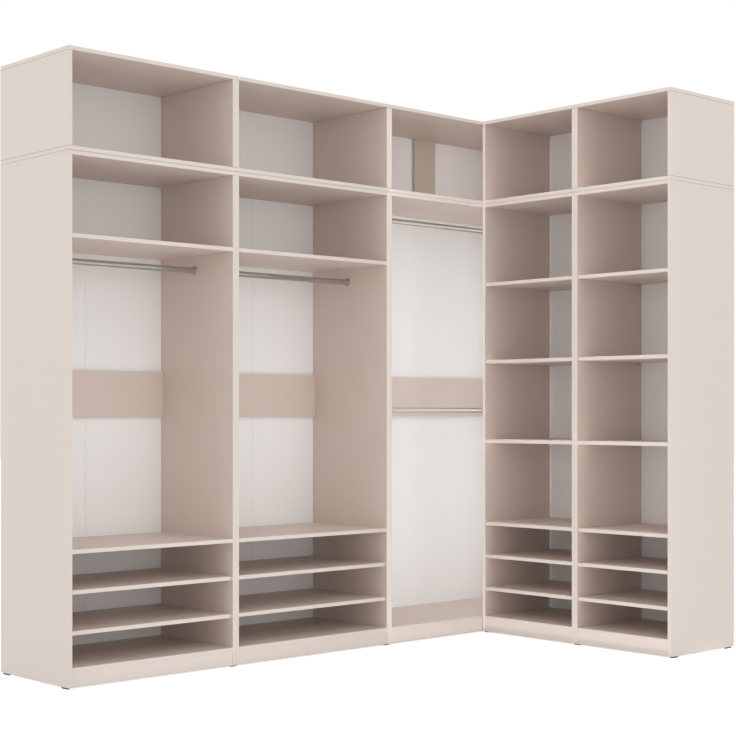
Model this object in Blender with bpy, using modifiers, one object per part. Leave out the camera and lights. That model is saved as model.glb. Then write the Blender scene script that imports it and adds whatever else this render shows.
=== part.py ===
"""Open-front corner wardrobe: five cabinets in two wings, each with a low top unit.

Metres, +Z up. The origin is on the floor under the middle of the whole wardrobe. The left wing
runs along X with its open front towards -Y, and the right wing runs from the corner towards -Y
with its open front towards -X. A cabinet is built in its own frame, with X from its left side to
its right side, Y from its front to its back and Z up from the floor. Its wing turns and places it.
"""

import math

import bmesh
import bpy
from mathutils import Vector

# Driving dimensions of the boards
BOARD = 0.018
SHEET = 0.003
EDGE_ROUNDING = 0.001
CLEARANCE = 0.0003

# Driving dimensions of the cabinets
HANGING_A_WIDTH = 0.900
HANGING_B_WIDTH = 0.985
CORNER_OPENING = 0.693
CORNER_REACH = 0.107
SHELF_A_WIDTH = 0.636
SHELF_B_WIDTH = 0.594
LEFT_WING_DEPTH = 0.576
RIGHT_WING_DEPTH = 0.534
CABINET_HEIGHT = 2.304
LOFT_HEIGHT = 0.446
PLINTH_HEIGHT = 0.066
PLINTH_SETBACK = 0.002

# Driving dimensions of the inner pieces
BENCH_HEIGHT = 0.597
LOWEST_SHOE_SPACE = 0.137
HAT_SPACE = 0.3355
HANGING_SHELF_RECESS = 0.014
LOOSE_SHELF_RECESS = 0.009
UPPER_SHELF_SHARES = (0.262, 0.514, 0.760)
BRACE_HEIGHT = 0.221
BRACE_PLACE_SHARE = 0.506
CORNER_LOFT_BRACE_WIDTH = 0.165
CORNER_LOFT_BRACE_PLACE = 0.725
JOINT_STRIP_WIDTH = 0.012
JOINT_STRIP_RAISE = 0.001
HANGING_A_STRIP_PLACE = 0.450
HANGING_B_STRIP_PLACE = 0.557
SHEET_MARGIN = 0.001

# Driving dimensions of the rails and the feet
RAIL_DIAMETER = 0.028
RAIL_PLACE_SHARE = 0.520
RAIL_DROP = 0.070
CORNER_RAIL_DROP = 0.076
MIDDLE_RAIL_RISE = 0.036
FLANGE_DIAMETER = 0.041
FLANGE_THICKNESS = 0.003
SOCKET_WALL = 0.002
SOCKET_LENGTH = 0.012
GLIDE_HEIGHT = 0.008
GLIDE_LENGTH = 0.047
GLIDE_WIDTH = 0.012
GLIDE_INSET = 0.017
GLIDE_ROUNDING = 0.002

# One overrun for all the blocks that are united, and the reach of merging in a turned piece
OVERRUN = 0.002
MERGE_REACH = 0.00001

# Counts
EDGE_SEGMENTS = 3
TURNED_STEPS = 40

# Heights that several pieces share, above the floor
FLOOR_PANEL_TOP = GLIDE_HEIGHT + PLINTH_HEIGHT + BOARD
CEILING = CABINET_HEIGHT - BOARD
HAT_SHELF_TOP = CEILING - HAT_SPACE
HANGING_SPACE = HAT_SHELF_TOP - BOARD - BENCH_HEIGHT
BRACE_BOTTOM = BENCH_HEIGHT + BRACE_PLACE_SHARE * (HANGING_SPACE - BRACE_HEIGHT)

# The corner cabinet runs on behind the right wing, and past its back by the reach
CORNER_WIDTH = CORNER_OPENING + RIGHT_WING_DEPTH + CORNER_REACH


def clear_scene():
    """Empties the scene, so that the part stands alone in it."""
    for old in list(bpy.data.objects):
        bpy.data.objects.remove(old, do_unlink=True)


def new_collection(name):
    """A collection of this name, linked to the scene."""
    collection = bpy.data.collections.new(name)
    bpy.context.scene.collection.children.link(collection)
    return collection


def finish(name, colour, roughness, metallic):
    """A Principled material with these values."""
    material = bpy.data.materials.new(name)
    material.use_nodes = True
    shader = material.node_tree.nodes["Principled BSDF"]
    shader.inputs["Base Color"].default_value = (*colour, 1.0)
    shader.inputs["Roughness"].default_value = roughness
    shader.inputs["Metallic"].default_value = metallic
    material.diffuse_color = (*colour, 1.0)
    return material


def block(low, high):
    """A bmesh box between two corners."""
    low, high = Vector(low), Vector(high)
    shape = bmesh.new()
    bmesh.ops.create_cube(shape, size=1.0)
    bmesh.ops.scale(shape, vec=high - low, verts=shape.verts)
    bmesh.ops.translate(shape, vec=(low + high) / 2, verts=shape.verts)
    return shape


def front_edges(shape, along):
    """The edges of the shape's frontmost face that run along this axis, 0 for X or 2 for Z."""
    front = min(corner.co.y for corner in shape.verts)

    def wanted(edge):
        first, second = (corner.co for corner in edge.verts)
        run = second - first
        return first.y == second.y == front and abs(run[along]) == max(map(abs, run))

    return [edge for edge in shape.edges if wanted(edge)]


def round_edges(shape, edges, radius):
    """Rounds these edges, as a banded board's edge is."""
    bmesh.ops.bevel(
        shape,
        geom=edges,
        offset=radius,
        offset_type="OFFSET",
        segments=EDGE_SEGMENTS,
        profile=0.5,
        affect="EDGES",
        material=-1,
    )


def to_mesh(name, shape):
    """Turns a bmesh into a mesh and frees it."""
    mesh = bpy.data.meshes.new(name)
    shape.to_mesh(mesh)
    shape.free()
    return mesh


def united(name, body, *extras):
    """One mesh from a bmesh and the blocks fixed to it, made before the piece is placed."""
    helpers = []
    for shape in (body, *extras):
        helper = bpy.data.objects.new(name, to_mesh(name, shape))
        helper.hide_render = True
        helper.display_type = "WIRE"
        CUTTERS.objects.link(helper)
        helpers.append(helper)
    carrier = helpers[0]
    for helper in helpers[1:]:
        union = carrier.modifiers.new("Union", "BOOLEAN")
        union.operation = "UNION"
        union.object = helper
    graph = bpy.context.evaluated_depsgraph_get()
    mesh = bpy.data.meshes.new_from_object(carrier.evaluated_get(graph))
    for helper in helpers:
        bpy.data.objects.remove(helper, do_unlink=True)
    mesh.name = name
    return mesh


def place(name, mesh, cabinet, material):
    """Adds a named piece to the wardrobe, standing in its cabinet's frame."""
    piece = bpy.data.objects.new(name, mesh)
    mesh.materials.clear()
    mesh.materials.append(material)
    WARDROBE.objects.link(piece)
    piece.parent = cabinet
    return piece


def add_empty(name, parent, location, turn=0.0):
    """A frame to build in, placed in its parent's frame and turned about Z."""
    frame = bpy.data.objects.new(name, None)
    WARDROBE.objects.link(frame)
    frame.empty_display_size = BOARD
    frame.location = location
    frame.rotation_euler = (0.0, 0.0, turn)
    frame.parent = parent
    return frame


def board_depth(depth):
    """How far back the boards reach, with the back sheet behind them."""
    return depth - SHEET - CLEARANCE


def inner_depth(depth):
    """How far back the shelves and stiffening boards reach, just clear of the joint strip."""
    return depth - SHEET - JOINT_STRIP_RAISE - CLEARANCE


def brace_block(width, depth):
    """The horizontal stiffening board, from inside the left side board to the right one."""
    back = inner_depth(depth)
    low = (BOARD - OVERRUN, back - BOARD, BRACE_BOTTOM)
    high = (width - BOARD - CLEARANCE, back, BRACE_BOTTOM + BRACE_HEIGHT)
    return block(low, high)


def glide_block(left, front):
    """A plastic foot, its lower edges rounded, reaching up into the side board it is nailed to."""
    low = (left, front, 0.0)
    high = (left + GLIDE_WIDTH, front + GLIDE_LENGTH, GLIDE_HEIGHT + OVERRUN)
    shape = block(low, high)
    sole = [edge for edge in shape.edges if edge.verts[0].co.z == edge.verts[1].co.z == 0.0]
    round_edges(shape, sole, GLIDE_ROUNDING)
    return shape


def side_board(name, cabinet, left, width, depth, with_brace):
    """A side board on its two glides. The left one also carries the stiffening board, if any."""
    back = board_depth(depth)
    body = block((left, 0.0, GLIDE_HEIGHT), (left + BOARD, back, CEILING - CLEARANCE))
    round_edges(body, front_edges(body, 2), EDGE_ROUNDING)
    glide_left = left + (BOARD - GLIDE_WIDTH) / 2
    extras = [
        glide_block(glide_left, GLIDE_INSET),
        glide_block(glide_left, back - GLIDE_INSET - GLIDE_LENGTH),
    ]
    if with_brace:
        extras.append(brace_block(width, depth))
    place(name, united(name, body, *extras), cabinet, BEIGE)


def flat_board(name, cabinet, low, high):
    """A level board with its front edge banded and rounded."""
    body = block(low, high)
    round_edges(body, front_edges(body, 0), EDGE_ROUNDING)
    place(name, to_mesh(name, body), cabinet, BEIGE)


def inner_shelf(name, cabinet, width, depth, top, recess):
    """A shelf between the side boards, with its upper face at this height."""
    low = (BOARD + CLEARANCE, recess, top - BOARD)
    high = (width - BOARD - CLEARANCE, inner_depth(depth), top)
    flat_board(name, cabinet, low, high)


def base_panel(name, cabinet, width, depth):
    """The bottom panel between the side boards, with the plinth board under its front edge."""
    left, right = BOARD + CLEARANCE, width - BOARD - CLEARANCE
    panel_bottom = FLOOR_PANEL_TOP - BOARD
    panel = block((left, 0.0, panel_bottom), (right, board_depth(depth), FLOOR_PANEL_TOP))
    round_edges(panel, front_edges(panel, 0), EDGE_ROUNDING)
    plinth_back = PLINTH_SETBACK + BOARD
    plinth = block((left, PLINTH_SETBACK, GLIDE_HEIGHT), (right, plinth_back, panel_bottom + OVERRUN))
    place(name, united(name, panel, plinth), cabinet, BEIGE)


def back_sheet(name, cabinet, width, depth, low, high, strip_place):
    """The white sheet on the rear edges, with a joint strip over its two halves if it has one."""
    front = depth - SHEET
    sheet = block((SHEET_MARGIN, front, low), (width - SHEET_MARGIN, depth, high))
    extras = []
    if strip_place is not None:
        strip_left = strip_place - JOINT_STRIP_WIDTH / 2
        strip_low = (strip_left, front - JOINT_STRIP_RAISE, FLOOR_PANEL_TOP + CLEARANCE)
        strip_high = (strip_left + JOINT_STRIP_WIDTH, depth - SHEET / 2, CEILING - CLEARANCE)
        extras.append(block(strip_low, strip_high))
    place(name, united(name, sheet, *extras), cabinet, WHITE)


def rail_profile(length):
    """Half of the rail's outline as (radius, distance from its middle), end flange included."""
    radius = RAIL_DIAMETER / 2
    socket = radius + SOCKET_WALL
    flange = FLANGE_DIAMETER / 2
    end = length / 2
    chamfer = FLANGE_THICKNESS / 3
    return [
        (0.0, end),
        (flange, end),
        (flange, end - FLANGE_THICKNESS + chamfer),
        (flange - chamfer, end - FLANGE_THICKNESS),
        (socket, end - FLANGE_THICKNESS),
        (socket, end - FLANGE_THICKNESS - SOCKET_LENGTH),
        (radius, end - FLANGE_THICKNESS - SOCKET_LENGTH),
    ]


def hanging_rail(name, cabinet, width, depth, height):
    """A chrome rail with a flange at each end, turned from one profile and laid along X."""
    length = width - 2 * (BOARD + CLEARANCE)
    half = rail_profile(length)
    outline = half + [(radius, -along) for radius, along in reversed(half)]
    shape = bmesh.new()
    corners = [shape.verts.new((radius, 0.0, along)) for radius, along in outline]
    for first, second in zip(corners, corners[1:]):
        shape.edges.new((first, second))
    rail = place(name, to_mesh(name, shape), cabinet, CHROME)
    turning = rail.modifiers.new("Turning", "SCREW")
    turning.steps = TURNED_STEPS
    turning.render_steps = TURNED_STEPS
    turning.use_merge_vertices = True
    turning.merge_threshold = MERGE_REACH
    turning.use_smooth_shade = True
    rail.location = (width / 2, RAIL_PLACE_SHARE * board_depth(depth), height)
    rail.rotation_euler = (0.0, math.radians(90), 0.0)


def loft_carcass(name, cabinet, width, depth):
    """The top unit's two sides, top and bottom as one open frame."""
    low = Vector((0.0, 0.0, CABINET_HEIGHT + CLEARANCE))
    high = Vector((width, board_depth(depth), CABINET_HEIGHT + LOFT_HEIGHT))
    frame = block(low, high)
    for outward in (-1, 1):
        ends = [face for face in frame.faces if round(face.normal.y) == outward]
        bmesh.ops.inset_region(frame, faces=ends, thickness=BOARD, use_even_offset=True)
        rims = [face for face in frame.faces if round(face.normal.y) == outward]
        middle = min(rims, key=lambda face: (face.calc_center_median() - (low + high) / 2).xz.length)
        bmesh.ops.delete(frame, geom=[middle], context="FACES_ONLY")
    rim = [edge for edge in frame.edges if edge.is_boundary]
    bmesh.ops.bridge_loops(frame, edges=rim)
    front = low.y
    round_edges(
        frame,
        [edge for edge in frame.edges if is_rim_edge(edge, front)],
        EDGE_ROUNDING,
    )
    place(name, to_mesh(name, frame), cabinet, BEIGE)


def is_rim_edge(edge, front):
    """Whether an edge is a sharp one of the open frame's front rim."""
    level = all(corner.co.y == front for corner in edge.verts)
    return level and edge.calc_face_angle() > math.radians(45)


def loft_brace(name, cabinet, depth):
    """The vertical stiffening board in the corner's top unit, over the joint of its back sheet."""
    back = inner_depth(depth)
    left = CORNER_LOFT_BRACE_PLACE
    low = (left, back - BOARD, CABINET_HEIGHT + 2 * CLEARANCE + BOARD)
    high = (
        left + CORNER_LOFT_BRACE_WIDTH,
        back,
        CABINET_HEIGHT + LOFT_HEIGHT - BOARD - CLEARANCE,
    )
    place(name, to_mesh(name, block(low, high)), cabinet, BEIGE)


def lower_carcass(label, cabinet, width, depth, with_brace, strip_place):
    """The boards and the back sheet that every lower cabinet has."""
    right = width - BOARD
    side_board(f"{label}_left_side", cabinet, 0.0, width, depth, with_brace)
    side_board(f"{label}_right_side", cabinet, right, width, depth, False)
    top_high = (width, board_depth(depth), CABINET_HEIGHT)
    flat_board(f"{label}_top", cabinet, (0.0, 0.0, CEILING), top_high)
    base_panel(f"{label}_base", cabinet, width, depth)
    sheet_top = CABINET_HEIGHT - SHEET_MARGIN
    sheet_bottom = GLIDE_HEIGHT + PLINTH_HEIGHT
    back_sheet(f"{label}_back", cabinet, width, depth, sheet_bottom, sheet_top, strip_place)


def loft(label, cabinet, width, depth):
    """The low top unit that stands on a cabinet."""
    loft_carcass(f"{label}_loft_carcass", cabinet, width, depth)
    bottom = CABINET_HEIGHT + SHEET_MARGIN
    top = CABINET_HEIGHT + LOFT_HEIGHT - SHEET_MARGIN
    back_sheet(f"{label}_loft_back", cabinet, width, depth, bottom, top, None)


def shoe_shelves(label, cabinet, width, depth, recess):
    """Two shoe shelves: the lowest space has its own height, and the other two are alike."""
    lower_top = FLOOR_PANEL_TOP + LOWEST_SHOE_SPACE + BOARD
    spare = BENCH_HEIGHT - BOARD - lower_top - BOARD
    upper_top = lower_top + spare / 2 + BOARD
    inner_shelf(f"{label}_shoe_shelf_lower", cabinet, width, depth, lower_top, recess)
    inner_shelf(f"{label}_shoe_shelf_upper", cabinet, width, depth, upper_top, recess)


def hanging_cabinet(label, wing, offset, width, depth, strip_place):
    """A wide cabinet with a hat shelf, a rail, a bench shelf and two shoe shelves."""
    cabinet = add_empty(f"{label}_frame", wing, (offset, 0.0, 0.0))
    lower_carcass(label, cabinet, width, depth, True, strip_place)
    inner_shelf(f"{label}_hat_shelf", cabinet, width, depth, HAT_SHELF_TOP, 0.0)
    inner_shelf(f"{label}_bench_shelf", cabinet, width, depth, BENCH_HEIGHT, 0.0)
    shoe_shelves(label, cabinet, width, depth, HANGING_SHELF_RECESS)
    rail_height = HAT_SHELF_TOP - BOARD - RAIL_DROP
    hanging_rail(f"{label}_rail", cabinet, width, depth, rail_height)
    loft(label, cabinet, width, depth)


def corner_cabinet(label, wing, offset, width, depth):
    """The blind corner cabinet, with two rails and no shelf."""
    cabinet = add_empty(f"{label}_frame", wing, (offset, 0.0, 0.0))
    lower_carcass(label, cabinet, width, depth, True, None)
    hanging_rail(f"{label}_rail_upper", cabinet, width, depth, CEILING - CORNER_RAIL_DROP)
    hanging_rail(f"{label}_rail_middle", cabinet, width, depth, BRACE_BOTTOM + MIDDLE_RAIL_RISE)
    loft(label, cabinet, width, depth)
    loft_brace(f"{label}_loft_brace", cabinet, depth)


def shelf_cabinet(label, wing, offset, width, depth):
    """A narrow cabinet with three upper shelves, a bench shelf and two shoe shelves."""
    cabinet = add_empty(f"{label}_frame", wing, (offset, 0.0, 0.0))
    lower_carcass(label, cabinet, width, depth, False, None)
    names = ("shelf_low", "shelf_middle", "shelf_high")
    recesses = (0.0, LOOSE_SHELF_RECESS, LOOSE_SHELF_RECESS)
    for name, share, recess in zip(names, UPPER_SHELF_SHARES, recesses):
        top = BENCH_HEIGHT + share * (CEILING - BENCH_HEIGHT)
        inner_shelf(f"{label}_{name}", cabinet, width, depth, top, recess)
    inner_shelf(f"{label}_bench_shelf", cabinet, width, depth, BENCH_HEIGHT, LOOSE_SHELF_RECESS)
    shoe_shelves(label, cabinet, width, depth, LOOSE_SHELF_RECESS)
    loft(label, cabinet, width, depth)


def build():
    """Builds both wings around the corner, with the origin under the middle of the whole."""
    hanging_b_place = HANGING_A_WIDTH + CLEARANCE
    corner_place = hanging_b_place + HANGING_B_WIDTH + CLEARANCE
    overall_width = corner_place + CORNER_WIDTH
    shelf_b_place = SHELF_A_WIDTH + CLEARANCE
    right_wing_length = CLEARANCE + shelf_b_place + SHELF_B_WIDTH
    front = (right_wing_length - LEFT_WING_DEPTH) / 2
    left_wing = add_empty("left_wing", None, (-overall_width / 2, front, 0.0))
    first_size = (HANGING_A_WIDTH, LEFT_WING_DEPTH, HANGING_A_STRIP_PLACE)
    second_size = (HANGING_B_WIDTH, LEFT_WING_DEPTH, HANGING_B_STRIP_PLACE)
    hanging_cabinet("hanging_a", left_wing, 0.0, *first_size)
    hanging_cabinet("hanging_b", left_wing, hanging_b_place, *second_size)
    corner_cabinet("corner", left_wing, corner_place, CORNER_WIDTH, LEFT_WING_DEPTH)
    corner = (corner_place + CORNER_OPENING, -CLEARANCE, 0.0)
    right_wing = add_empty("right_wing", left_wing, corner, math.radians(-90))
    shelf_cabinet("shelf_a", right_wing, 0.0, SHELF_A_WIDTH, RIGHT_WING_DEPTH)
    shelf_cabinet("shelf_b", right_wing, shelf_b_place, SHELF_B_WIDTH, RIGHT_WING_DEPTH)


clear_scene()
WARDROBE = new_collection("open_front_wardrobe")
CUTTERS = new_collection("cutters")
BEIGE = finish("beige_board", (0.72, 0.62, 0.55), 0.55, 0.0)
WHITE = finish("white_back_sheet", (0.85, 0.85, 0.84), 0.5, 0.0)
CHROME = finish("chrome_rail", (0.75, 0.75, 0.76), 0.15, 1.0)
build()
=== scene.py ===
"""Open-front corner wardrobe: the finish of its boards, sheets, rails and fittings, and its studio.

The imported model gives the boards, back sheets and rails. This file coats them, builds the boards
of the top units one by one, turns the rails with their flanges, and adds the small fittings.
A cabinet's own frame has X along its front from the left, Y from its front to its back and Z up.
"""

import math

import bmesh
import bpy
from bpy.props import FloatProperty, FloatVectorProperty, IntProperty, PointerProperty
from mathutils import Matrix, Vector


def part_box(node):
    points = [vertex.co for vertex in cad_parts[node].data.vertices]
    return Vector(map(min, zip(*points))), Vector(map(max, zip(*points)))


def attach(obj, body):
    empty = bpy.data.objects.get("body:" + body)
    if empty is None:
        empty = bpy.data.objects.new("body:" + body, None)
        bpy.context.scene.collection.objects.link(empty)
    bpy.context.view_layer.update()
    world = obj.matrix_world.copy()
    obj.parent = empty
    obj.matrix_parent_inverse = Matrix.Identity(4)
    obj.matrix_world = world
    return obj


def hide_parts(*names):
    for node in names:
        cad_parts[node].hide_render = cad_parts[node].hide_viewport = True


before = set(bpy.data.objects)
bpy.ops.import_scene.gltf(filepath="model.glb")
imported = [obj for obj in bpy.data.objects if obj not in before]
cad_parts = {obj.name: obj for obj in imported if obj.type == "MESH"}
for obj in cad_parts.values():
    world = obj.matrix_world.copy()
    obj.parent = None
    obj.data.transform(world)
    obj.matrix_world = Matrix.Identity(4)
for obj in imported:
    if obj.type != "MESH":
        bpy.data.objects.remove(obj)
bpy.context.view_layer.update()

bl_info = {
    "name": "Open-front corner wardrobe",
    "version": (1, 0, 0),
    "blender": (4, 5, 0),
    "location": "View3D > Sidebar > Wardrobe",
    "description": "Coats the boards of a corner wardrobe and adds its rails, fittings and studio",
    "category": "Object",
}

MM = 0.001
QUARTER_TURN = math.radians(90)
HALF_TURN = math.radians(180)
FULL_TURN = math.radians(360)
SHARP_ANGLE = math.radians(35)
# Places closer than this are the same, and corners closer than this are merged
SAME_PLACE = 0.01 * MM
MERGE_REACH = 0.001 * MM
# Depth of raw chipboard at a side board's lower end, either way, and of raw fibre on a sheet's rear
SOLE_REACH = 0.1 * MM
RAW_DEPTH = 0.6 * MM
# Room round a rail in its collar and over a shelf pin, and how deep a screw head lies in its flange
RAIL_PLAY = 0.1 * MM
PIN_PLAY = 0.05 * MM
SCREW_SINK = 0.2 * MM
# Faces along the rounding of a board and of a rail's end, and round a screw, a pin and a nail
EDGE_STEPS = 3
ARC_STEPS = 6
SCREW_STEPS = 24
PIN_STEPS = 16
NAIL_STEPS = 8
# Screws in each flange
FLANGE_SCREWS = 3
# Where a Mix node keeps its factor, its two colours and its mixed colour
MIX_INPUTS = (0, 6, 7)
MIX_RESULT = 2
# Width of the camera's sensor in millimetres, and how far the floor reaches either way
SENSOR_WIDTH = 36.0
FLOOR_REACH = 30.0

HANGING = ("hanging_a", "hanging_b")
SHELVED = ("shelf_a", "shelf_b")
CABINETS = (*HANGING, "corner", *SHELVED)
SHOE_SHELVES = ("shoe_shelf_lower", "shoe_shelf_upper")
LOOSE_SHELVES = {
    **dict.fromkeys(HANGING, SHOE_SHELVES),
    **dict.fromkeys(SHELVED, (*SHOE_SHELVES, "bench_shelf", "shelf_middle", "shelf_high")),
}
RAILS = ("hanging_a_rail", "hanging_b_rail", "corner_rail_upper", "corner_rail_middle")


def colour(name, default, description):
    """A colour that a user can change."""
    return FloatVectorProperty(
        name=name, description=description, default=default, size=3, min=0.0, max=1.0, subtype="COLOR"
    )


def length(name, default, description):
    """A length that a user can change."""
    return FloatProperty(
        name=name, description=description, default=default, min=0.0, unit="LENGTH", precision=4
    )


def share(name, default, description):
    """A strength or share without a unit."""
    return FloatProperty(name=name, description=description, default=default, min=0.0)


def watts(name, default, description):
    """A lamp's power."""
    return FloatProperty(name=name, description=description, default=default, min=0.0, unit="POWER")


class WardrobeFinish(bpy.types.PropertyGroup):
    """Colours and coating sizes of the boards and sheets."""

    # Painted shade: the board colour is a pinker copy of the one coating, standing for the warm shade
    # inside the cabinets.
    board: colour("Board", (0.735, 0.624, 0.561), "Melamine coating of the boards")
    # Painted highlight: the band colour also paints the wardrobe's two end faces, standing for their open,
    # fully lit faces.
    edge: colour("Edge band", (0.752, 0.670, 0.614), "Band on the front edges, and the wardrobe's two ends")
    # Painted shade: the brace colour is the board colour darkened, standing for the shade it sits in near
    # the back sheet.
    brace: colour("Brace", (0.640, 0.548, 0.489), "Melamine coating of the corner top unit's brace")
    sheet: colour("Back sheet", (0.972, 0.969, 0.965), "Lacquered face of the back sheets")
    raw_sheet: colour("Raw sheet", (0.290, 0.180, 0.105), "Uncoated rear of the back sheets")
    chips: colour("Chipboard", (0.480, 0.340, 0.210), "Uncoated lower ends of the side boards")
    plastic: colour("Glide plastic", (0.060, 0.060, 0.062), "Moulded glides under the side boards")
    strip: colour("Joint strip", (0.930, 0.927, 0.920), "Plastic strip between two back sheets")
    chrome: colour("Chrome", (0.470, 0.475, 0.455), "Polished hanging rails")
    screw: colour("Screws", (0.550, 0.550, 0.539), "Zinc-plated flange screws")
    pin: colour("Pins", (0.620, 0.620, 0.6076), "Nickel-plated shelf pins")
    nail: colour("Nails", (0.500, 0.500, 0.490), "Zinc-plated nail heads")
    band_thickness: length("Band thickness", 0.8 * MM, "Thickness of the edge band")
    glue_line: length("Glue line", 0.15 * MM, "Width of the glue line behind the edge band")


class WardrobeFittings(bpy.types.PropertyGroup):
    """Sizes of the rails, pins, nails and top unit boards."""

    board_rounding: length("Board rounding", 1.0 * MM, "Radius of a banded edge")
    seam: length("Seam", 1.0 * MM, "Gap between two boards of a top unit")
    loft_lift: length("Top unit lift", 0.8 * MM, "How far a top unit stands above the cabinet's top panel")
    rail_diameter: length("Rail diameter", 28 * MM, "Outer diameter of a hanging rail")
    flange_diameter: length("Flange diameter", 41 * MM, "Diameter of a rail's end flange")
    flange_thickness: length("Flange thickness", 3 * MM, "Thickness of a rail's end flange")
    collar_wall: length("Collar wall", 2 * MM, "Wall of the collar that holds a rail")
    collar_length: length("Collar length", 12 * MM, "Length of the collar that holds a rail")
    screw_diameter: length("Screw head", 3.6 * MM, "Diameter of a flange screw's head")
    pin_diameter: length("Pin diameter", 5 * MM, "Diameter of a shelf pin")
    pin_length: length("Pin length", 9 * MM, "How far a shelf pin stands out of its side board")
    pin_collar: length("Pin collar", 1.2 * MM, "Thickness of a shelf pin's collar")
    pin_inset: length("Pin inset", 45 * MM, "Distance from a shelf's front or back edge to its pins")
    nail_diameter: length("Nail head", 4 * MM, "Diameter of a nail head in the back sheets")
    nail_thickness: length("Nail head thickness", 0.3 * MM, "Thickness of a nail head")
    nail_rise: length("Nail head rise", 0.1 * MM, "How far the middle of a nail head stands proud")
    nail_spacing: length("Nail spacing", 150 * MM, "Distance between two nails")
    turned_steps: IntProperty(
        name="Turned steps", description="Faces round a rail", default=64, min=8, max=128
    )


class WardrobeStudio(bpy.types.PropertyGroup):
    """Camera, lamps and floor."""

    camera_place: FloatVectorProperty(
        name="Camera place",
        description="Where the camera stands",
        default=(-5.1870, -5.4050, 1.1824),
        size=3,
        subtype="TRANSLATION",
    )
    camera_turn: FloatProperty(
        name="Camera turn",
        description="Turn of the level camera about the vertical, from looking along +Y",
        default=math.radians(-42.834),
        subtype="ANGLE",
    )
    lens: FloatProperty(name="Lens", description="Focal length", default=76.23, min=1.0, unit="CAMERA")
    rise: share("Rise", 0.0609, "Upward shift of the picture, as a share of its width")
    ambient: share("Ambient", 0.98, "Strength of the light from all round")
    long_wing_lamp: watts("Long wing lamp", 1.5, "Power of the lamp before the long wing")
    short_wing_lamp: watts("Short wing lamp", 0.2, "Power of the lamp before the short wing")
    corner_lamp: watts("Corner lamp", 1.18, "Power of the panel in the corner cabinet's opening")
    corner_card: watts("Corner card", 8.3, "Power of the white card that the corner's rails mirror")
    corner_side_lamp: watts("Corner side lamp", 2.06, "Power of the strip hidden behind the short wing")
    loft_lamp: watts("Loft lamp", 0.23, "Power of the panel in the opening of the corner's top unit")
    loft_side_lamp: watts("Loft side lamp", 0.39, "Power of the panel hidden in the corner's top unit")
    upper_edge_lamp: watts("Upper edge lamp", 1.155, "Power of the light down the short wing's front")
    lower_edge_lamp: watts("Lower edge lamp", 0.66, "Power of the light up the short wing's front")
    corner_edge_lamp: watts("Corner edge lamp", 0.045, "Power of the strip on the short wing's first edge")
    post_edge_lamp: watts("Post edge lamp", 0.05, "Power of the strip on the post beside the corner")
    seam_lamp: watts("Seam lamp", 0.015, "Power of the strip on the seam over the corner cabinet")
    plinth_lamp: watts("Plinth lamp", 0.020, "Power of the strip on the corner cabinet's plinth")
    floor_lamp: watts("Floor lamp", 4.9, "Power of the panel that lifts light off the floor")
    corner_light: colour("Corner light", (0.845, 0.945, 1.0), "Daylight colour of the corner's lamps")
    floor: colour("Floor", (0.92, 0.92, 0.92), "Pale floor")
    floor_glow: share("Floor glow", 0.80, "White that only the camera sees on the floor")
    mirrored_glow: share("Mirrored glow", 0.10, "White that only the chrome sees on the floor")


def settings():
    """The three groups of settings."""
    scene = bpy.context.scene
    return scene.wardrobe_finish, scene.wardrobe_fittings, scene.wardrobe_studio


def cabinet_frame(label):
    """The matrix that takes a cabinet's own frame to the wardrobe's."""
    low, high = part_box(f"{label}_top")
    if label in SHELVED:
        corner = Vector((low.x, high.y, 0.0))
        return Matrix.Translation(corner) @ Matrix.Rotation(-QUARTER_TURN, 4, "Z")
    return Matrix.Translation(Vector((low.x, low.y, 0.0)))


def cabinet_of(node):
    """The label of the cabinet that a node belongs to."""
    return next(label for label in CABINETS if node.startswith(label))


def board_thickness(label):
    """How thick a cabinet's boards are."""
    low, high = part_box(f"{label}_top")
    return high.z - low.z


def local_box(label, part):
    """The lowest and highest corners of a cabinet's part in the cabinet's own frame."""
    back = cabinet_frame(label).inverted()
    first, second = (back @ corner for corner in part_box(f"{label}_{part}"))
    low = Vector(map(min, first, second))
    high = Vector(map(max, first, second))
    return low, high


def block(low, high):
    """A box between two corners."""
    low, high = Vector(low), Vector(high)
    shape = bmesh.new()
    bmesh.ops.create_cube(shape, size=1.0)
    bmesh.ops.scale(shape, vec=high - low, verts=shape.verts)
    bmesh.ops.translate(shape, vec=(low + high) / 2, verts=shape.verts)
    return shape


def edges_where(shape, test):
    """The edges whose two ends both pass a test."""
    return [edge for edge in shape.edges if all(test(corner.co) for corner in edge.verts)]


def round_off(shape, edges, radius):
    """Rounds these edges."""
    bmesh.ops.bevel(
        shape,
        geom=edges,
        offset=radius,
        offset_type="OFFSET",
        segments=EDGE_STEPS,
        profile=0.5,
        affect="EDGES",
        material=-1,
    )


def near(value, place):
    """Whether two places along an axis are the same."""
    return abs(value - place) < SAME_PLACE


def turned(outline, steps):
    """A closed shape turned about the X axis from an outline of (distance along it, radius)."""
    shape = bmesh.new()
    corners = [shape.verts.new((along, 0.0, radius)) for along, radius in outline]
    edges = [shape.edges.new(pair) for pair in zip(corners, corners[1:])]
    bmesh.ops.spin(
        shape,
        geom=corners + edges,
        cent=(0.0, 0.0, 0.0),
        axis=(1.0, 0.0, 0.0),
        angle=FULL_TURN,
        steps=steps,
        use_merge=True,
        use_duplicate=False,
    )
    bmesh.ops.remove_doubles(shape, verts=shape.verts, dist=MERGE_REACH)
    bmesh.ops.recalc_face_normals(shape, faces=shape.faces)
    return shape


def gather(target, shape, matrix):
    """Adds a shape to another one, moved by a matrix, and frees it."""
    bmesh.ops.transform(shape, matrix=matrix, verts=shape.verts)
    mesh = bpy.data.meshes.new("gathered")
    shape.to_mesh(mesh)
    shape.free()
    target.from_mesh(mesh)
    bpy.data.meshes.remove(mesh)


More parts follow.
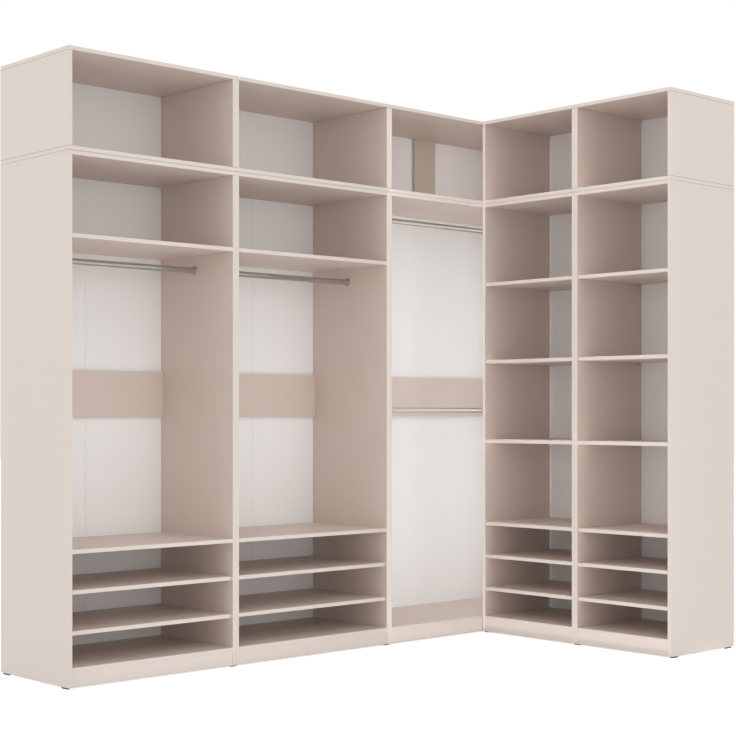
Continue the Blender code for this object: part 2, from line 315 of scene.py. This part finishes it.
def add_piece(name, shape, material, smooth=False, replaced=()):
    """Turns a shape into a named piece that rides on the wardrobe's body."""
    mesh = bpy.data.meshes.new(name)
    shape.to_mesh(mesh)
    shape.free()
    mesh.materials.append(material)
    if smooth:
        mesh.shade_smooth()
        mesh.set_sharp_from_angle(angle=SHARP_ANGLE)
    piece = bpy.data.objects.new(name, mesh)
    bpy.context.scene.collection.objects.link(piece)
    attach(piece, "root")
    if replaced:
        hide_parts(*replaced)


class Tree:
    """Adds and joins the nodes of a material or a world."""

    def __init__(self, owner, output):
        owner.use_nodes = True
        self.tree = owner.node_tree
        self.tree.nodes.clear()
        self.surface = self.add(output).inputs["Surface"]

    def add(self, kind, **values):
        """Adds a node with these settings."""
        node = self.tree.nodes.new(kind)
        for name, value in values.items():
            setattr(node, name, value)
        return node

    def join(self, source, target):
        """Joins two sockets, or sets the second to a plain value."""
        if isinstance(source, bpy.types.NodeSocket):
            self.tree.links.new(source, target)
        else:
            target.default_value = source

    def sums(self, operation, *values):
        """A math node's result."""
        node = self.add("ShaderNodeMath", operation=operation)
        for value, socket in zip(values, node.inputs):
            self.join(value, socket)
        return node.outputs[0]

    def glow(self, kind, strength):
        """White light of this strength."""
        node = self.add(kind)
        node.inputs["Color"].default_value = (1.0, 1.0, 1.0, 1.0)
        self.join(strength, node.inputs["Strength"])
        return node.outputs[0]


class Finish(Tree):
    """The nodes of one finish, made round a Principled shader."""

    def __init__(self, name):
        self.material = bpy.data.materials.new(name)
        super().__init__(self.material, "ShaderNodeOutputMaterial")
        self.shader = self.add("ShaderNodeBsdfPrincipled")
        self.join(self.shader.outputs["BSDF"], self.surface)
        self.place = self.add("ShaderNodeTexCoord").outputs["Object"]

    def axis(self, name):
        """One coordinate of the place on the object."""
        node = self.add("ShaderNodeSeparateXYZ")
        self.join(self.place, node.inputs[0])
        return node.outputs[name]

    def between(self, value, low, high):
        """1 where a value lies between two others."""
        above = self.sums("GREATER_THAN", value, low)
        below = self.sums("LESS_THAN", value, high)
        return self.sums("MULTIPLY", above, below)

    def noise(self, scale, detail, stretch=None):
        """A noise between 0 and 1 that sits still on the object."""
        place = self.place
        if stretch is not None:
            mapping = self.add("ShaderNodeMapping")
            self.join(place, mapping.inputs["Vector"])
            mapping.inputs["Scale"].default_value = stretch
            place = mapping.outputs["Vector"]
        node = self.add("ShaderNodeTexNoise")
        self.join(place, node.inputs["Vector"])
        node.inputs["Scale"].default_value = scale
        node.inputs["Detail"].default_value = detail
        return node.outputs["Fac"]

    def ranged(self, value, low, high):
        """A value from 0 to 1 spread between two others."""
        node = self.add("ShaderNodeMapRange")
        self.join(value, node.inputs["Value"])
        node.inputs["To Min"].default_value = low
        node.inputs["To Max"].default_value = high
        return node.outputs["Result"]

    def mottled(self, base, scale, detail, low, high, stretch=None):
        """A colour that a noise darkens and lightens."""
        return self.tinted(base, self.ranged(self.noise(scale, detail, stretch), low, high))

    def mix(self, part, first, second, blend="MIX"):
        """A colour mixed from two others."""
        node = self.add("ShaderNodeMix", data_type="RGBA", blend_type=blend)
        colours = (
            source if isinstance(source, bpy.types.NodeSocket) else (*source, 1.0)
            for source in (first, second)
        )
        for source, index in zip((part, *colours), MIX_INPUTS):
            self.join(source, node.inputs[index])
        return node.outputs[MIX_RESULT]

    def tinted(self, base, value):
        """A colour multiplied by a value."""
        combined = self.add("ShaderNodeCombineColor")
        for socket in combined.inputs:
            self.join(value, socket)
        return self.mix(1.0, base, combined.outputs[0], "MULTIPLY")

    def bump(self, height, strength, distance, normal=None):
        """A bump from a height."""
        node = self.add("ShaderNodeBump")
        self.join(height, node.inputs["Height"])
        node.inputs["Strength"].default_value = strength
        node.inputs["Distance"].default_value = distance
        if normal is not None:
            self.join(normal, node.inputs["Normal"])
        return node.outputs["Normal"]

    def finish(self, base, roughness, normal=None, metallic=0.0):
        """Gives the shader its colour, roughness and bump."""
        self.join(base, self.shader.inputs["Base Color"])
        self.join(roughness, self.shader.inputs["Roughness"])
        self.shader.inputs["Metallic"].default_value = metallic
        if normal is not None:
            self.join(normal, self.shader.inputs["Normal"])
        return self.material


def lit_end_face(label):
    """The axis and place of the wardrobe's own end, where a cabinet stands at one; its outer face is
    painted in the lighter band colour as painted light.
    """
    low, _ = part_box(f"{label}_top")
    return {"hanging_a": ("X", low.x), "shelf_b": ("Y", low.y)}.get(label)


def front_edge(label, node):
    """The axis and place of a board's front edge."""
    low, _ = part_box(node)
    return ("X", low.x) if label in SHELVED else ("Y", low.y)


def coated_board(name, front, sole, plinth, shade, end):
    """Matte coated chipboard with a plastic band on its front edge and raw lower ends on glides.

    The front and the end are an axis and a place on it; the sole and the plinth are heights.
    The outer face at the end takes the lighter band colour, a painted highlight of that open, lit face.
    """
    finish, _, _ = settings()
    nodes = Finish(name)
    clouded = nodes.mottled(shade, scale=5.0, detail=2.0, low=0.985, high=1.015)
    base = nodes.mottled(clouded, scale=1400.0, detail=2.0, low=0.975, high=1.025)
    band = nodes.mottled(finish.edge, scale=2200.0, detail=1.0, low=0.985, high=1.015)
    height = nodes.axis("Z")
    if front is not None:
        front_axis, front_place = front
        depth = nodes.sums("SUBTRACT", nodes.axis(front_axis), front_place)
        on_band_and_lit_end = nodes.sums("LESS_THAN", depth, finish.band_thickness)
        on_glue = nodes.between(depth, finish.band_thickness, finish.band_thickness + finish.glue_line)
        if plinth is not None:
            on_band_and_lit_end = nodes.sums("MAXIMUM", on_band_and_lit_end, nodes.sums("LESS_THAN", height, plinth))
        # Painted highlight: the wardrobe's outer end face gets the lighter band colour instead of the
        # coating.
        if end is not None:
            end_axis, end_place = end
            on_lit_end = nodes.sums("LESS_THAN", nodes.axis(end_axis), end_place + finish.band_thickness)
            on_band_and_lit_end = nodes.sums("MAXIMUM", on_band_and_lit_end, on_lit_end)
        base = nodes.mix(on_band_and_lit_end, base, band)
        base = nodes.tinted(base, nodes.ranged(on_glue, low=1.0, high=0.82))
    if sole is not None:
        chips = nodes.add("ShaderNodeTexVoronoi")
        nodes.join(nodes.place, chips.inputs["Vector"])
        chips.inputs["Scale"].default_value = 420.0
        shades = nodes.add("ShaderNodeSeparateColor")
        nodes.join(chips.outputs["Color"], shades.inputs[0])
        raw = nodes.tinted(finish.chips, nodes.ranged(shades.outputs[0], low=0.55, high=1.25))
        base = nodes.mix(nodes.sums("LESS_THAN", height, sole + SOLE_REACH), base, raw)
        base = nodes.mix(nodes.sums("LESS_THAN", height, sole - SOLE_REACH), base, finish.plastic)
    pores = nodes.bump(nodes.noise(scale=1800.0, detail=2.0), strength=0.10, distance=0.05 * MM)
    waves = nodes.bump(nodes.noise(scale=12.0, detail=1.0), strength=0.06, distance=1.0 * MM, normal=pores)
    roughness = nodes.ranged(nodes.noise(scale=9.0, detail=3.0), low=0.42, high=0.52)
    return nodes.finish(base, roughness, waves)


def lacquered_sheet(name, back_axis, back_place, strip):
    """Thin fibreboard, lacquered white in front and raw behind, with a joint strip if it has one."""
    finish, _, _ = settings()
    nodes = Finish(name)
    lacquer = nodes.mottled(finish.sheet, scale=4.0, detail=2.0, low=0.99, high=1.01)
    raw = nodes.mottled(
        finish.raw_sheet, scale=260.0, detail=6.0, low=0.72, high=1.25, stretch=(1.0, 1.0, 0.35)
    )
    behind = nodes.sums("GREATER_THAN", nodes.axis(back_axis), back_place - RAW_DEPTH)
    base = nodes.mix(behind, lacquer, raw)
    if strip:
        base = nodes.mix(nodes.between(nodes.axis("X"), *strip), base, finish.strip)
    peel = nodes.bump(nodes.noise(scale=160.0, detail=2.0), strength=0.12, distance=0.2 * MM)
    roughness = nodes.ranged(behind, low=0.38, high=0.80)
    return nodes.finish(base, roughness, peel)


def polished_chrome():
    """Chrome with faint hairlines along the rail."""
    finish, _, _ = settings()
    nodes = Finish("polished_chrome")
    hairlines = nodes.noise(scale=900.0, detail=2.0, stretch=(0.02, 1.0, 1.0))
    smears = nodes.ranged(nodes.noise(scale=30.0, detail=3.0), low=0.13, high=0.19)
    normal = nodes.bump(hairlines, strength=0.05, distance=0.05 * MM)
    return nodes.finish((*finish.chrome, 1.0), smears, normal, metallic=0.85)


def plated_steel(name, shade):
    """Plated steel of pins, nails and screws."""
    nodes = Finish(name)
    base = nodes.mottled(shade, scale=700.0, detail=3.0, low=0.85, high=1.10)
    roughness = nodes.ranged(nodes.noise(scale=500.0, detail=2.0), low=0.28, high=0.42)
    return nodes.finish(base, roughness, metallic=1.0)


class WARDROBE_OT_coat_boards(bpy.types.Operator):
    """Gives every board of the lower cabinets its coating, edge band and glides"""

    bl_idname = "wardrobe.coat_boards"
    bl_label = "Coat the boards"

    def execute(self, context):
        finish, _, _ = settings()
        coats = {}
        for node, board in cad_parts.items():
            if node in RAILS or node.endswith(("_back", "_loft_carcass")):
                continue
            label = cabinet_of(node)
            sole_low, plinth_high = (corner.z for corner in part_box(f"{label}_base"))
            sole = sole_low if node.endswith("_side") else None
            plinth = plinth_high - board_thickness(label) if node.endswith("_base") else None
            # The braces get the darker brace colour, a painted shade.
            shade = finish.brace if node.endswith("_brace") else finish.board
            front = None if node.endswith("_brace") else front_edge(label, node)
            coat = (front, sole, plinth, tuple(shade), lit_end_face(label))
            if coat not in coats:
                coats[coat] = coated_board(f"coated_board_{len(coats) + 1}", *coat)
            board.data.materials.clear()
            board.data.materials.append(coats[coat])
        if not coats:
            raise RuntimeError("no board was found in the frame")
        return {"FINISHED"}


class WARDROBE_OT_coat_sheets(bpy.types.Operator):
    """Gives every back sheet its lacquer, its raw rear and its joint strip"""

    bl_idname = "wardrobe.coat_sheets"
    bl_label = "Coat the back sheets"

    def execute(self, context):
        for node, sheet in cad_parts.items():
            if not node.endswith("_back"):
                continue
            label = cabinet_of(node)
            low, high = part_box(node)
            back = ("X", high.x) if label in SHELVED else ("Y", high.y)
            strip = None
            if node in ("hanging_a_back", "hanging_b_back"):
                proud = [corner.co.x for corner in sheet.data.vertices if near(corner.co.y, low.y)]
                strip = (min(proud), max(proud))
            sheet.data.materials.clear()
            sheet.data.materials.append(lacquered_sheet(f"sheet_{node}", *back, strip))
        return {"FINISHED"}


class WARDROBE_OT_build_lofts(bpy.types.Operator):
    """Builds the four boards of every top unit, with their seams"""

    bl_idname = "wardrobe.build_lofts"
    bl_label = "Build the top units"

    def execute(self, context):
        finish, fittings, _ = settings()
        coats = {}
        for label in CABINETS:
            matrix = cabinet_frame(label)
            low, high = local_box(label, "loft_carcass")
            low.z += fittings.loft_lift
            shape = bmesh.new()
            for part in self.boards(low, high, board_thickness(label), fittings):
                gather(shape, part, matrix)
            carcass = f"{label}_loft_carcass"
            coat = (front_edge(label, carcass), None, None, tuple(finish.board), lit_end_face(label))
            if coat not in coats:
                coats[coat] = coated_board(f"coated_loft_{len(coats) + 1}", *coat)
            add_piece(f"{label}_loft_boards", shape, coats[coat], replaced=[carcass])
        return {"FINISHED"}

    def boards(self, low, high, board, fittings):
        """The bottom, the top and the two sides, rounded where their edges show."""
        radius = fittings.board_rounding
        gap = fittings.seam
        for bottom in (low.z, high.z - board):
            panel = block((low.x, low.y, bottom), (high.x, high.y, bottom + board))
            front = edges_where(panel, lambda co: near(co.y, low.y))
            ends = [
                edge
                for place in (low.x, high.x)
                for edge in edges_where(panel, lambda co, place=place: near(co.x, place))
                if not near(edge.verts[0].co.y, edge.verts[1].co.y)
            ]
            round_off(panel, list(set(front + ends)), radius)
            yield panel
        for left, outer in ((low.x, low.x), (high.x - board, high.x)):
            side_low = (left, low.y, low.z + board + gap)
            side_high = (left + board, high.y, high.z - board - gap)
            side = block(side_low, side_high)
            posts = [
                edge
                for edge in edges_where(side, lambda co: near(co.y, low.y))
                if near(edge.verts[0].co.x, edge.verts[1].co.x)
            ]
            rims = [
                edge
                for edge in edges_where(side, lambda co, outer=outer: near(co.x, outer))
                if near(edge.verts[0].co.z, edge.verts[1].co.z)
            ]
            round_off(side, list(set(posts + rims)), radius)
            yield side


def arc(along, height, size, start, sweep):
    """Points on an arc round a middle, from a starting angle through a sweep."""
    for step in range(ARC_STEPS + 1):
        angle = start + sweep * step / ARC_STEPS
        yield along + size * math.cos(angle), height + size * math.sin(angle)


def rail_outline(reach, fittings):
    """Half a rail from its end to its middle as (distance from the middle, radius)."""
    tube = fittings.rail_diameter / 2
    slope = fittings.collar_wall
    lip = slope / 2
    collar = tube + slope
    flange = fittings.flange_diameter / 2
    rim = fittings.flange_thickness / 2
    inner = reach - fittings.flange_thickness
    mouth = inner - fittings.collar_length
    climbs = [slope * math.sin(QUARTER_TURN * step / ARC_STEPS) for step in range(ARC_STEPS + 1)]
    return [
        (reach, 0.0),
        *arc(reach - rim, flange - rim, rim, 0.0, HALF_TURN),
        *((inner - climb, collar + slope - climb) for climb in climbs),
        *arc(mouth + lip, collar - lip, lip, QUARTER_TURN, QUARTER_TURN),
        (mouth, tube + RAIL_PLAY),
        (mouth, tube),
    ]


def extruded(shape, edges, spread, depth):
    """Extrudes a loop downwards, spreads it, and gives the edges of its open end."""
    made = bmesh.ops.extrude_edge_only(shape, edges=edges)["geom"]
    corners = [item for item in made if isinstance(item, bmesh.types.BMVert)]
    bmesh.ops.scale(shape, vec=(spread, spread, 1.0), verts=corners)
    bmesh.ops.translate(shape, vec=(0.0, 0.0, -depth), verts=corners)
    return [item for item in made if isinstance(item, bmesh.types.BMEdge) and item.is_boundary]


def cross_screw(diameter):
    """A countersunk screw head with a cross recess, looking up from the ground level."""
    arm, half = 0.30 * diameter, 0.06 * diameter
    recess_depth, recess_taper = 0.20 * diameter, 0.6
    top, brim_drop, shank = 0.42 * diameter, 0.08 * diameter, 0.22 * diameter
    shape = bmesh.new()
    loop = []
    for turn in range(4):
        spin = Matrix.Rotation(-QUARTER_TURN * turn, 3, "Z")
        corners = ((half, arm), (half, half), (arm, half))
        loop += [shape.verts.new(spin @ Vector((x, y, 0.0))) for x, y in corners]
    recess = [shape.edges.new((loop[index - 1], loop[index])) for index in range(len(loop))]
    ring = bmesh.ops.create_circle(shape, segments=SCREW_STEPS, radius=top)["verts"]
    rim = [edge for edge in shape.edges if edge.verts[0] in ring and edge.verts[1] in ring]
    bmesh.ops.bridge_loops(shape, edges=recess + rim)
    bmesh.ops.edgeloop_fill(shape, edges=extruded(shape, recess, recess_taper, recess_depth))
    brim = extruded(shape, rim, diameter / 2 / top, brim_drop)
    bmesh.ops.edgeloop_fill(shape, edges=extruded(shape, brim, 1.0, shank))
    bmesh.ops.recalc_face_normals(shape, faces=shape.faces)
    return shape


class WARDROBE_OT_build_rails(bpy.types.Operator):
    """Turns the hanging rails with their flanges and adds the flange screws"""

    bl_idname = "wardrobe.build_rails"
    bl_label = "Build the hanging rails"

    def execute(self, context):
        finish, fittings, _ = settings()
        chrome = polished_chrome()
        zinc = plated_steel("screw_zinc", finish.screw)
        for node in RAILS:
            low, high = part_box(node)
            middle = (low + high) / 2
            reach = (high.x - low.x) / 2
            half = rail_outline(reach, fittings)
            outline = half + [(-along, radius) for along, radius in reversed(half)]
            shape = turned(outline, fittings.turned_steps)
            bmesh.ops.translate(shape, vec=middle, verts=shape.verts)
            add_piece(f"{node}_turned", shape, chrome, smooth=True, replaced=[node])
            self.screws(node, middle, reach, fittings, zinc)
        return {"FINISHED"}

    def screws(self, node, middle, reach, fittings, zinc):
        """Three screws in each flange, facing the middle of the rail."""
        collar = fittings.rail_diameter / 2 + fittings.collar_wall
        circle = (collar + fittings.flange_diameter / 2) / 2
        face = reach - fittings.flange_thickness + SCREW_SINK
        shape = bmesh.new()
        for side in (-1, 1):
            place = Matrix.Translation(middle + Vector((side * face, 0.0, 0.0)))
            facing = Matrix.Rotation(-side * QUARTER_TURN, 4, "Y")
            for turn in range(FLANGE_SCREWS):
                angle = FULL_TURN * turn / FLANGE_SCREWS + QUARTER_TURN
                around = Matrix.Rotation(angle, 4, "X") @ Matrix.Translation((0.0, circle, 0.0))
                gather(shape, cross_screw(fittings.screw_diameter), place @ around @ facing)
        add_piece(f"{node}_screws", shape, zinc)


def shelf_pin(fittings):
    """A round pin with a collar, standing out along +X from the ground plane X = 0."""
    reach, collar, tip = fittings.pin_length, fittings.pin_collar, 0.5 * MM
    radius = fittings.pin_diameter / 2
    wide, worn = 1.6 * radius, 1.4 * radius
    outline = [
        (0.0, 0.0),
        (0.0, wide),
        (0.7 * collar, wide),
        (collar, worn),
        (collar, radius),
        (reach - tip, radius),
        (reach, radius - tip),
        (reach, 0.0),
    ]
    return turned(outline, PIN_STEPS)


class WARDROBE_OT_build_pins(bpy.types.Operator):
    """Puts four pins under every loose shelf"""

    bl_idname = "wardrobe.build_pins"
    bl_label = "Build the shelf pins"

    def execute(self, context):
        finish, fittings, _ = settings()
        nickel = plated_steel("pin_nickel", finish.pin)
        for label, shelves in LOOSE_SHELVES.items():
            shape = bmesh.new()
            matrix = cabinet_frame(label)
            for shelf in shelves:
                for place in self.places(label, shelf, fittings):
                    gather(shape, shelf_pin(fittings), matrix @ place)
            add_piece(f"{label}_shelf_pins", shape, nickel, smooth=True)
        return {"FINISHED"}

    def places(self, label, shelf, fittings):
        """Where a shelf's four pins stand and point, in the cabinet's own frame."""
        left, right = (corner.x for corner in local_box(label, "base"))
        low, high = local_box(label, shelf)
        height = low.z - fittings.pin_diameter / 2 - PIN_PLAY
        for depth in (low.y + fittings.pin_inset, high.y - fittings.pin_inset):
            for start, turn in ((left, 0.0), (right, HALF_TURN)):
                yield Matrix.Translation((start, depth, height)) @ Matrix.Rotation(turn, 4, "Z")


class WARDROBE_OT_build_nails(bpy.types.Operator):
    """Nails the back sheets to the rear edges of the boards"""

    bl_idname = "wardrobe.build_nails"
    bl_label = "Build the sheet nails"

    def execute(self, context):
        finish, fittings, _ = settings()
        zinc = plated_steel("nail_zinc", finish.nail)
        turn = Matrix.Rotation(-QUARTER_TURN, 4, "X")
        for label in CABINETS:
            shape = bmesh.new()
            matrix = cabinet_frame(label)
            inset = board_thickness(label) / 2
            for sheet in ("back", "loft_back"):
                low, high = local_box(label, sheet)
                for across, height in self.places(low, high, inset, fittings.nail_spacing):
                    place = Matrix.Translation((across, high.y, height))
                    gather(shape, self.head(fittings), matrix @ place @ turn)
            add_piece(f"{label}_sheet_nails", shape, zinc)
        return {"FINISHED"}

    def places(self, low, high, inset, spacing):
        """Evenly spaced places along the four edges of a sheet."""
        left, right = low.x + inset, high.x - inset
        bottom, top = low.z + inset, high.z - inset
        rows = max(2, round((right - left) / spacing))
        columns = max(2, round((top - bottom) / spacing))
        for step in range(rows + 1):
            across = left + (right - left) * step / rows
            yield across, bottom
            yield across, top
        for step in range(1, columns):
            height = bottom + (top - bottom) * step / columns
            yield left, height
            yield right, height

    def head(self, fittings):
        """A flat nail head, its top just proud of the sheet."""
        rim, top = 0.5 * fittings.nail_diameter, 0.38 * fittings.nail_diameter
        shape = bmesh.new()
        bmesh.ops.create_cone(
            shape,
            cap_ends=True,
            segments=NAIL_STEPS,
            radius1=rim,
            radius2=top,
            depth=fittings.nail_thickness,
        )
        bmesh.ops.translate(shape, vec=(0.0, 0.0, fittings.nail_rise), verts=shape.verts)
        return shape


# Each lamp panel: its place, where it looks, its width and height in metres, its spread in degrees,
# and its kind. The corner's lamps have a daylight colour; the card only shows in the chrome.
LAMPS = {
    "long_wing_lamp": ((-0.3, -2.9, 1.4), (-0.3, 0.9, 1.4), (2.4, 2.7), 30, "room"),
    "short_wing_lamp": ((-2.9, -0.3, 1.4), (1.5, -0.3, 1.4), (1.1, 2.7), 20, "room"),
    "corner_lamp": ((0.943, 0.335, 1.185), (0.943, 0.9, 1.185), (1.28, 2.17), 180, "corner"),
    "corner_card": ((0.943, 0.345, 1.185), (0.943, 0.9, 1.185), (1.28, 2.17), 180, "card"),
    "corner_side_lamp": ((1.44, 0.355, 1.185), (1.44, 0.9, 1.185), (0.28, 2.17), 180, "corner"),
    "loft_lamp": ((0.943, 0.335, 2.53), (0.943, 0.9, 2.53), (1.28, 0.38), 180, "room"),
    "loft_side_lamp": ((1.28, 0.355, 2.53), (1.28, 0.9, 2.53), (0.6, 0.38), 130, "room"),
    "upper_edge_lamp": ((0.673, -0.293, 3.6), (0.969, -0.293, 1.92), (1.275, 0.29), 4, "room"),
    "lower_edge_lamp": ((0.867, -0.302, 0.025), (0.969, -0.302, 0.605), (1.25, 0.2), 4, "room"),
    "corner_edge_lamp": ((0.30, 0.318, 1.37), (0.969, 0.318, 1.37), (0.03, 2.7), 2, "room"),
    "post_edge_lamp": ((0.276, -0.35, 1.37), (0.276, 0.327, 1.37), (0.03, 2.7), 2, "room"),
    "seam_lamp": ((0.622, -0.35, 2.304), (0.622, 0.327, 2.304), (0.69, 0.03), 2, "room"),
    "plinth_lamp": ((0.622, -0.36, 0.05), (0.622, 0.327, 0.05), (0.69, 0.075), 2, "room"),
    "floor_lamp": ((-0.3, -0.65, 0.002), (-0.3, -0.65, 1.0), (2.5, 1.9), 180, "room"),
}


class WARDROBE_OT_build_stage(bpy.types.Operator):
    """Sets the camera, the lamps and the pale floor"""

    bl_idname = "wardrobe.build_stage"
    bl_label = "Build the studio"

    def execute(self, context):
        _, _, studio = settings()
        self.camera(context.scene, studio)
        self.world(context.scene, studio)
        for name in LAMPS:
            self.lamp(name, studio)
        self.floor(studio)
        context.scene.view_settings.view_transform = "Standard"
        return {"FINISHED"}

    def camera(self, scene, studio):
        """A level camera at the photograph's viewing angle."""
        data = bpy.data.cameras.new("camera")
        data.lens = studio.lens
        data.sensor_width = SENSOR_WIDTH
        data.shift_y = studio.rise
        data.dof.use_dof = False
        camera = bpy.data.objects.new("camera", data)
        camera.location = studio.camera_place
        camera.rotation_euler = (QUARTER_TURN, 0.0, studio.camera_turn)
        scene.collection.objects.link(camera)
        scene.camera = camera

    def world(self, scene, studio):
        """Even light from all round, with a white backdrop for the camera and for reflections."""
        world = bpy.data.worlds.new("studio")
        nodes = Tree(world, "ShaderNodeOutputWorld")
        rays = nodes.add("ShaderNodeLightPath").outputs
        seen = nodes.sums("MAXIMUM", rays["Is Camera Ray"], rays["Is Glossy Ray"])
        seen = nodes.sums("MAXIMUM", seen, rays["Is Transmission Ray"])
        choice = nodes.add("ShaderNodeMixShader")
        light = nodes.glow("ShaderNodeBackground", studio.ambient)
        white = nodes.glow("ShaderNodeBackground", 1.0)
        for source, target in zip((seen, light, white), choice.inputs):
            nodes.join(source, target)
        nodes.join(choice.outputs[0], nodes.surface)
        scene.world = world

    def lamp(self, name, studio):
        """A soft lamp panel that looks at a place, with its light kept within a spread."""
        place, target, size, spread, kind = LAMPS[name]
        data = bpy.data.lights.new(name, "AREA")
        data.shape = "RECTANGLE"
        data.size, data.size_y = size
        data.spread = math.radians(spread)
        data.energy = getattr(studio, name)
        if kind == "corner":
            data.color = studio.corner_light
        lamp = bpy.data.objects.new(name, data)
        lamp.location = place
        lamp.rotation_euler = (Vector(target) - Vector(place)).to_track_quat("-Z", "Y").to_euler()
        lamp.visible_camera = False
        lamp.visible_glossy = kind == "card"
        lamp.visible_diffuse = kind != "card"
        bpy.context.scene.collection.objects.link(lamp)

    def floor(self, studio):
        """A pale floor that keeps the wardrobe's shadow and turns white away from it."""
        shape = bmesh.new()
        bmesh.ops.create_grid(shape, x_segments=1, y_segments=1, size=FLOOR_REACH)
        mesh = bpy.data.meshes.new("floor")
        shape.to_mesh(mesh)
        shape.free()
        floor = bpy.data.objects.new("floor", mesh)
        bpy.context.scene.collection.objects.link(floor)
        material = bpy.data.materials.new("pale_floor")
        nodes = Tree(material, "ShaderNodeOutputMaterial")
        paint = nodes.add("ShaderNodeBsdfDiffuse")
        paint.inputs["Color"].default_value = (*studio.floor, 1.0)
        rays = nodes.add("ShaderNodeLightPath").outputs
        white = nodes.sums("MULTIPLY", rays["Is Camera Ray"], studio.floor_glow)
        white = nodes.sums("MULTIPLY_ADD", rays["Is Glossy Ray"], studio.mirrored_glow, white)
        both = nodes.add("ShaderNodeAddShader")
        nodes.join(paint.outputs[0], both.inputs[0])
        nodes.join(nodes.glow("ShaderNodeEmission", white), both.inputs[1])
        nodes.join(both.outputs[0], nodes.surface)
        mesh.materials.append(material)


class WARDROBE_PT_panel(bpy.types.Panel):
    """Lists the steps that dress the wardrobe"""

    bl_label = "Wardrobe"
    bl_idname = "WARDROBE_PT_panel"
    bl_space_type = "VIEW_3D"
    bl_region_type = "UI"
    bl_category = "Wardrobe"

    def draw(self, context):
        for step in STEPS:
            self.layout.operator(step.bl_idname)
        for group in settings():
            box = self.layout.box()
            for name in group.bl_rna.properties.keys():
                if name not in ("rna_type", "name"):
                    box.prop(group, name)


GROUPS = {
    "wardrobe_finish": WardrobeFinish,
    "wardrobe_fittings": WardrobeFittings,
    "wardrobe_studio": WardrobeStudio,
}
STEPS = (
    WARDROBE_OT_coat_boards,
    WARDROBE_OT_coat_sheets,
    WARDROBE_OT_build_lofts,
    WARDROBE_OT_build_rails,
    WARDROBE_OT_build_pins,
    WARDROBE_OT_build_nails,
    WARDROBE_OT_build_stage,
)


def register():
    """Registers the groups, the steps and the panel."""
    for name, group in GROUPS.items():
        bpy.utils.register_class(group)
        setattr(bpy.types.Scene, name, PointerProperty(type=group))
    for step in (*STEPS, WARDROBE_PT_panel):
        bpy.utils.register_class(step)


def unregister():
    """Takes them away again."""
    for step in reversed((*STEPS, WARDROBE_PT_panel)):
        bpy.utils.unregister_class(step)
    for name, group in reversed(GROUPS.items()):
        delattr(bpy.types.Scene, name)
        bpy.utils.unregister_class(group)


def main():
    """Dresses the wardrobe."""
    register()
    bpy.ops.wardrobe.coat_boards()
    bpy.ops.wardrobe.coat_sheets()
    bpy.ops.wardrobe.build_lofts()
    bpy.ops.wardrobe.build_rails()
    bpy.ops.wardrobe.build_pins()
    bpy.ops.wardrobe.build_nails()
    bpy.ops.wardrobe.build_stage()


if __name__ == "__main__":
    main()
